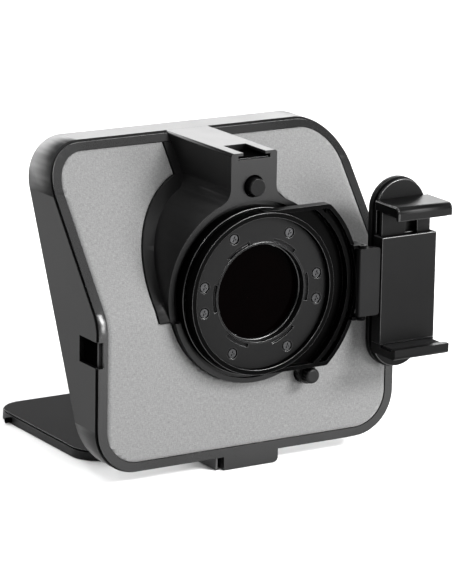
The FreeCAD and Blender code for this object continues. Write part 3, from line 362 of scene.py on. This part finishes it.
# ------------------------------------------------------------------ finishes
def make_finishes():
    """One material for each of the record's slots, by the slot's name."""
    return {
        "hood_plastic": moulded("hood_plastic", 0.0015, 0.34, specular=0.13),
        "bezel_plastic": moulded("bezel_plastic", 0.003, 0.28, specular=0.32),
        "board_plastic": moulded("board_plastic", 0.020, 0.60, specular=0.2),
        "housing_plastic": moulded("housing_plastic", 0.002, 0.34, grain=0.25, relief=0.004,
                                   specular=0.13),
        "black_metal": coated_metal("black_metal", 0.0003, 0.32, specular=0.012),
        "disc_metal": coated_metal("disc_metal", 0.002, 0.46, specular=0.055),
        "arm_metal": coated_metal("arm_metal", 0.003, 0.45, specular=0.06),
        "clamp_plastic": moulded("clamp_plastic", 0.002, 0.42, specular=0.05),
        "jaw_plastic": moulded("jaw_plastic", 0.0012, 0.34, specular=0.06),
        "button_plastic": moulded("button_plastic", 0.002, 0.42, specular=0.05),
        "knob_plastic": moulded("knob_plastic", 0.003, 0.42, specular=0.10),
        "tray_plastic": moulded("tray_plastic", 0.006, 0.45, specular=0.14),
        "tray_cover": moulded("tray_cover", 0.008, 0.85, grain=0.5, relief=0.03, specular=0.05),
        "bond_layer": porous("bond_layer", 0.003, 0.5),
        "block_plastic": moulded("block_plastic", 0.016, 0.36, specular=0.5),
        "steel": coated_metal("steel", 0.001, 0.50, specular=0.0),
        "black_screw": drawn_metal("black_screw", (0.030, 0.030, 0.031), 0.30),
        "spring_steel": drawn_metal("spring_steel", (0.5, 0.5, 0.52), 0.28),
        "brass": drawn_metal("brass", (0.72, 0.53, 0.22), 0.28),
        "tube_gloss": moulded("tube_gloss", 0.001, 0.14, grain=0.8, relief=0.001, specular=0.2),
        "coated_glass": lens_glass("coated_glass", (0.0003, 0.0001, 0.0001), 0.10),
        "mirror_glass": mirror_glass("mirror_glass"),
        "rubber": porous("rubber", 0.005, 0.6),
        "foam": porous("foam", 0.0004, 0.9, specular=0.0),
        "panel_fabric": heather_cloth("panel_fabric"),
    }


# The width of each part's rounded edges, in millimetres.
SOFT_EDGES = {
    "hood_shell": 0.45, "rear_frame": 0.45, "lens_housing": 0.4, "adapter_plate": 0.14,
    "adapter_spigot": 0.2, "ring_disc": 0.16, "lens_collar": 0.3, "phone_arm": 0.5,
    "clamp_rail": 0.35, "rail_cover": 0.4, "clamp_body": 0.45, "jaw_stem": 0.2,
    "upper_jaw": 0.9, "lower_jaw": 0.7, "upper_jaw_pad": 0.3, "lower_jaw_pad": 0.3,
    "tray_base": 0.4, "tray_top_plate": 0.12, "tray_latch_pins": 0.2, "tripod_block": 0.4,
    "release_button": 0.15, "lock_knob": 0.15, "shoe_plate": 0.1, "glass_frame": 0.2,
    "glass_bezel": 0.2, "aperture_tube": 0.5, "glass_retainer": 0.4,
}
WELD_GAP = 0.002 * MM
EDGE_STEPS = 2
EDGE_ANGLE = math.radians(38)
EDGE_SLOT = 1


def paint_nodes(finishes, edge_gloss_and_highlight):
    """Give every CAD node the finish of its slot, with the glossy edge finish, which carries a
    painted highlight, in its second slot.
    """
    for row in frame["record"]["subparts"]:
        node = frame["nodes"][row["node"]]
        node.data.materials.clear()
        node.data.materials.append(finishes[row["material_slot"]])
        if row["node"] in SOFT_EDGES:
            node.data.materials.append(edge_gloss_and_highlight)


def soften_edges():
    """Small rounded edges, as moulding and tumbling leave them, so that edges catch light."""
    for name, width in SOFT_EDGES.items():
        node = frame["nodes"][name]
        weld = node.modifiers.new("weld", "WELD")
        weld.merge_threshold = WELD_GAP
        bevel = node.modifiers.new("edges", "BEVEL")
        bevel.width = width * MM
        bevel.segments = EDGE_STEPS
        bevel.limit_method = "ANGLE"
        bevel.angle_limit = EDGE_ANGLE
        bevel.use_clamp_overlap = True
        bevel.harden_normals = True
        # The bevels take the glossy edge finish, with its painted highlight.
        bevel.material = EDGE_SLOT


# ------------------------------------------------------------------ the cloth
# The back is upright, then bends round an axis in the Y = 0 plane and leans forwards, by
# BACK_REACH over a rise of BACK_RISE. Its outer flats would meet at BEND_HEIGHT, and the
# bend is rounded there by BEND_ROUND.
BACK_RISE = 78.0 * MM
BACK_REACH = 62.85 * MM
BEND_HEIGHT = 85.2 * MM
BEND_ROUND = 19.0 * MM
BACK_LEAN = math.atan2(BACK_REACH, BACK_RISE)
BEND_AXIS_Z = BEND_HEIGHT - BEND_ROUND * math.tan(BACK_LEAN / 2)
# The spacing of the cloth's mesh across and up.
ACROSS, UP = 0, 2
CLOTH_GRID = 3.0 * MM
CLOTH_GRID_UP = 1.8 * MM
# Its tucked edge: how wide, how deep at the outline, and in how many steps; its thickness.
CLOTH_ROLL = 0.9 * MM
CLOTH_SINK = 0.4 * MM
ROLL_STEPS = 3
CLOTH_THICK = 0.5 * MM
# Vertices this close are one, and faces that turn by less than this angle are one flat.
SAME_PLACE = 0.001 * MM
FLAT_ANGLE = math.radians(1)
# How far towards +Y, and to either side, the normals of the camera-side faces may point.
NORMAL_Y_MOST = -0.5
NORMAL_X_MOST = 0.1


def unroll(point, radius):
    """Where a point on the bent panel lies when the panel is flat: (x, 0, distance up)."""
    rise = point.z - BEND_AXIS_Z
    if rise <= 0:
        return Vector((point.x, 0, point.z))
    turn = math.atan2(rise, -point.y)
    if turn <= BACK_LEAN:
        return Vector((point.x, 0, BEND_AXIS_Z + radius * turn))
    foot = Vector((0, -radius * math.cos(BACK_LEAN), BEND_AXIS_Z + radius * math.sin(BACK_LEAN)))
    slope = Vector((0, math.sin(BACK_LEAN), math.cos(BACK_LEAN)))
    beyond = (Vector((0, point.y, point.z)) - foot).dot(slope)
    return Vector((point.x, 0, BEND_AXIS_Z + radius * BACK_LEAN + beyond))


def roll_up(flat, radius):
    """The opposite of unroll; a flat point's Y is its depth below the surface."""
    run = flat.z - BEND_AXIS_Z
    turn = min(max(run / radius, 0.0), BACK_LEAN)
    outward = Vector((0, -math.cos(turn), math.sin(turn)))
    slope = Vector((0, math.sin(turn), math.cos(turn)))
    centre = Vector((flat.x, 0, BEND_AXIS_Z))
    return centre + outward * (radius - flat.y) + slope * (run - radius * turn)


def flat_cut(mesh, radius):
    """The cloth's cut: the panel's camera-side faces, laid flat and merged into one outline."""
    bm = bmesh.new()
    bm.from_mesh(mesh)
    bmesh.ops.remove_doubles(bm, verts=bm.verts[:], dist=SAME_PLACE)
    bm.normal_update()
    away = [f for f in bm.faces
            if f.normal.y > NORMAL_Y_MOST or abs(f.normal.x) > NORMAL_X_MOST]
    bmesh.ops.delete(bm, geom=away, context="FACES")
    for v in bm.verts:
        v.co = unroll(v.co, radius)
    bmesh.ops.dissolve_limit(bm, angle_limit=FLAT_ANGLE, verts=bm.verts[:],
                             edges=bm.edges[:], use_dissolve_boundaries=False)
    bm.normal_update()
    return bm


def slice_up(bm, axis, step):
    """Cut the mesh along planes at even steps."""
    normal = Vector((0, 0, 0))
    normal[axis] = 1
    places = [v.co[axis] for v in bm.verts]
    count = int((max(places) - min(places)) / step)
    for n in range(1, count + 1):
        point = normal * (min(places) + n * step)
        parts = bm.verts[:] + bm.edges[:] + bm.faces[:]
        bmesh.ops.bisect_plane(bm, geom=parts, plane_co=point, plane_no=normal,
                               dist=SAME_PLACE)


def tuck_edge(bm):
    """Turn the cloth in along its outline, as if folded over the board's edge."""
    for _ in range(ROLL_STEPS):
        bmesh.ops.inset_region(bm, faces=bm.faces[:], thickness=CLOTH_ROLL / ROLL_STEPS,
                               use_boundary=True, use_even_offset=True)
    edge = [v for v in bm.verts if v.is_boundary]
    done = set()
    for ring in range(ROLL_STEPS):
        share = 1 - ring / ROLL_STEPS
        for v in edge:
            v.co.y = CLOTH_SINK * share * share
        done.update(edge)
        near = {e.other_vert(v) for v in edge for e in v.link_edges}
        edge = [v for v in near if v not in done]


def make_cloth(finish):
    """The panel's cloth: cut flat, tucked in along its outline, then laid over the bend."""
    panel = frame["nodes"]["fabric_panel"]
    low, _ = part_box("fabric_panel")
    radius = -low.y
    bm = flat_cut(panel.data, radius)
    area = sum(f.calc_area() for f in bm.faces)
    tuck_edge(bm)
    slice_up(bm, ACROSS, CLOTH_GRID)
    slice_up(bm, UP, CLOTH_GRID_UP)
    layer = bm.loops.layers.uv.new("Cloth")
    for face in bm.faces:
        face.smooth = True
        for loop in face.loops:
            loop[layer].uv = (loop.vert.co.x, loop.vert.co.z)
    for v in bm.verts:
        v.co = roll_up(v.co, radius)
    bm.normal_update()
    mesh = bpy.data.meshes.new("panel_cloth")
    bm.to_mesh(mesh)
    bm.free()
    mesh.materials.append(finish)
    cloth = bpy.data.objects.new("panel_cloth", mesh)
    bpy.context.scene.collection.objects.link(cloth)
    body = cloth.modifiers.new("thickness", "SOLIDIFY")
    body.thickness = CLOTH_THICK
    body.offset = -1
    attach(cloth, "hood")
    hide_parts("fabric_panel")


# ------------------------------------------------------------------ floor and light
LIGHTS_FACE = Vector((0.0, 0.0, 0.09))


def area_light(name, place, size, power):
    """A soft box at a place, facing the point that all of them face."""
    data = bpy.data.lights.new(name, "AREA")
    data.shape = "RECTANGLE"
    data.size, data.size_y = size
    data.energy = power
    light = bpy.data.objects.new(name, data)
    bpy.context.scene.collection.objects.link(light)
    light.location = place
    light.rotation_euler = (LIGHTS_FACE - Vector(place)).to_track_quat("-Z", "Y").to_euler()


FLOOR_HALF = 6.0
FLOOR_CELLS = 8
FLOOR_DROP = 0.4 * MM
WORLD_STRENGTH = 0.30


def make_floor():
    """A pale seamless floor under the part."""
    bm = bmesh.new()
    bmesh.ops.create_grid(bm, x_segments=FLOOR_CELLS, y_segments=FLOOR_CELLS, size=FLOOR_HALF)
    mesh = bpy.data.meshes.new("floor")
    bm.to_mesh(mesh)
    bm.free()
    floor = bpy.data.objects.new("floor", mesh)
    floor.location.z = -FLOOR_DROP
    s = Shader("floor_paint")
    clouds = s.noise(s.object_space(), FLOOR_CLOUDS)
    s.colour(s.ramp(clouds, (0.70, 0.70, 0.70), (0.73, 0.73, 0.73)))
    s.set(Roughness=0.9, Specular_IOR_Level=0.1)
    mesh.materials.append(s.material)
    bpy.context.scene.collection.objects.link(floor)


def make_world():
    """A white studio's even, dim fill."""
    world = bpy.data.worlds.new("studio")
    world.use_nodes = True
    world.node_tree.nodes["Background"].inputs["Color"].default_value = (1, 1, 1, 1)
    world.node_tree.nodes["Background"].inputs["Strength"].default_value = WORLD_STRENGTH
    bpy.context.scene.world = world


# Each soft box: its place, its width and height, and its power in watts.
SOFT_BOXES = {
    "back_box": ((1.15, 1.9, 0.80), (2.4, 0.9), 38),
    "corner_box": ((-0.52, 1.95, 0.62), (1.7, 1.22), 37),
    "key_strip": ((0.66, -1.22, 0.26), (0.52, 0.48), 24),
    "bend_box": ((0.55, -1.00, 0.76), (0.50, 0.28), 38),
    "rim_box": ((-0.85, -0.95, 1.30), (0.26, 0.26), 12),
    "side_box": ((-1.50, -0.35, 1.20), (0.5, 0.4), 8),
    "right_box": ((1.7, 0.3, 0.45), (0.4, 0.8), 14),
    "top_box": ((0.0, -0.1, 2.2), (2.2, 2.2), 44),
}


def make_lights():
    """Soft boxes behind, in front of, beside and above the part."""
    for name, (place, size, power) in SOFT_BOXES.items():
        area_light(name, place, size, power)


# ------------------------------------------------------------------ the scene
finishes = make_finishes()
# The edge finish is glossier than the faces and carries a painted highlight.
paint_nodes(finishes, glossy_edge_painted_highlight("glossy_edge_painted_highlight"))
soften_edges()
make_cloth(finishes["panel_fabric"])
make_camera()
make_floor()
make_world()
make_lights()
bpy.context.scene.view_settings.view_transform = "Standard"
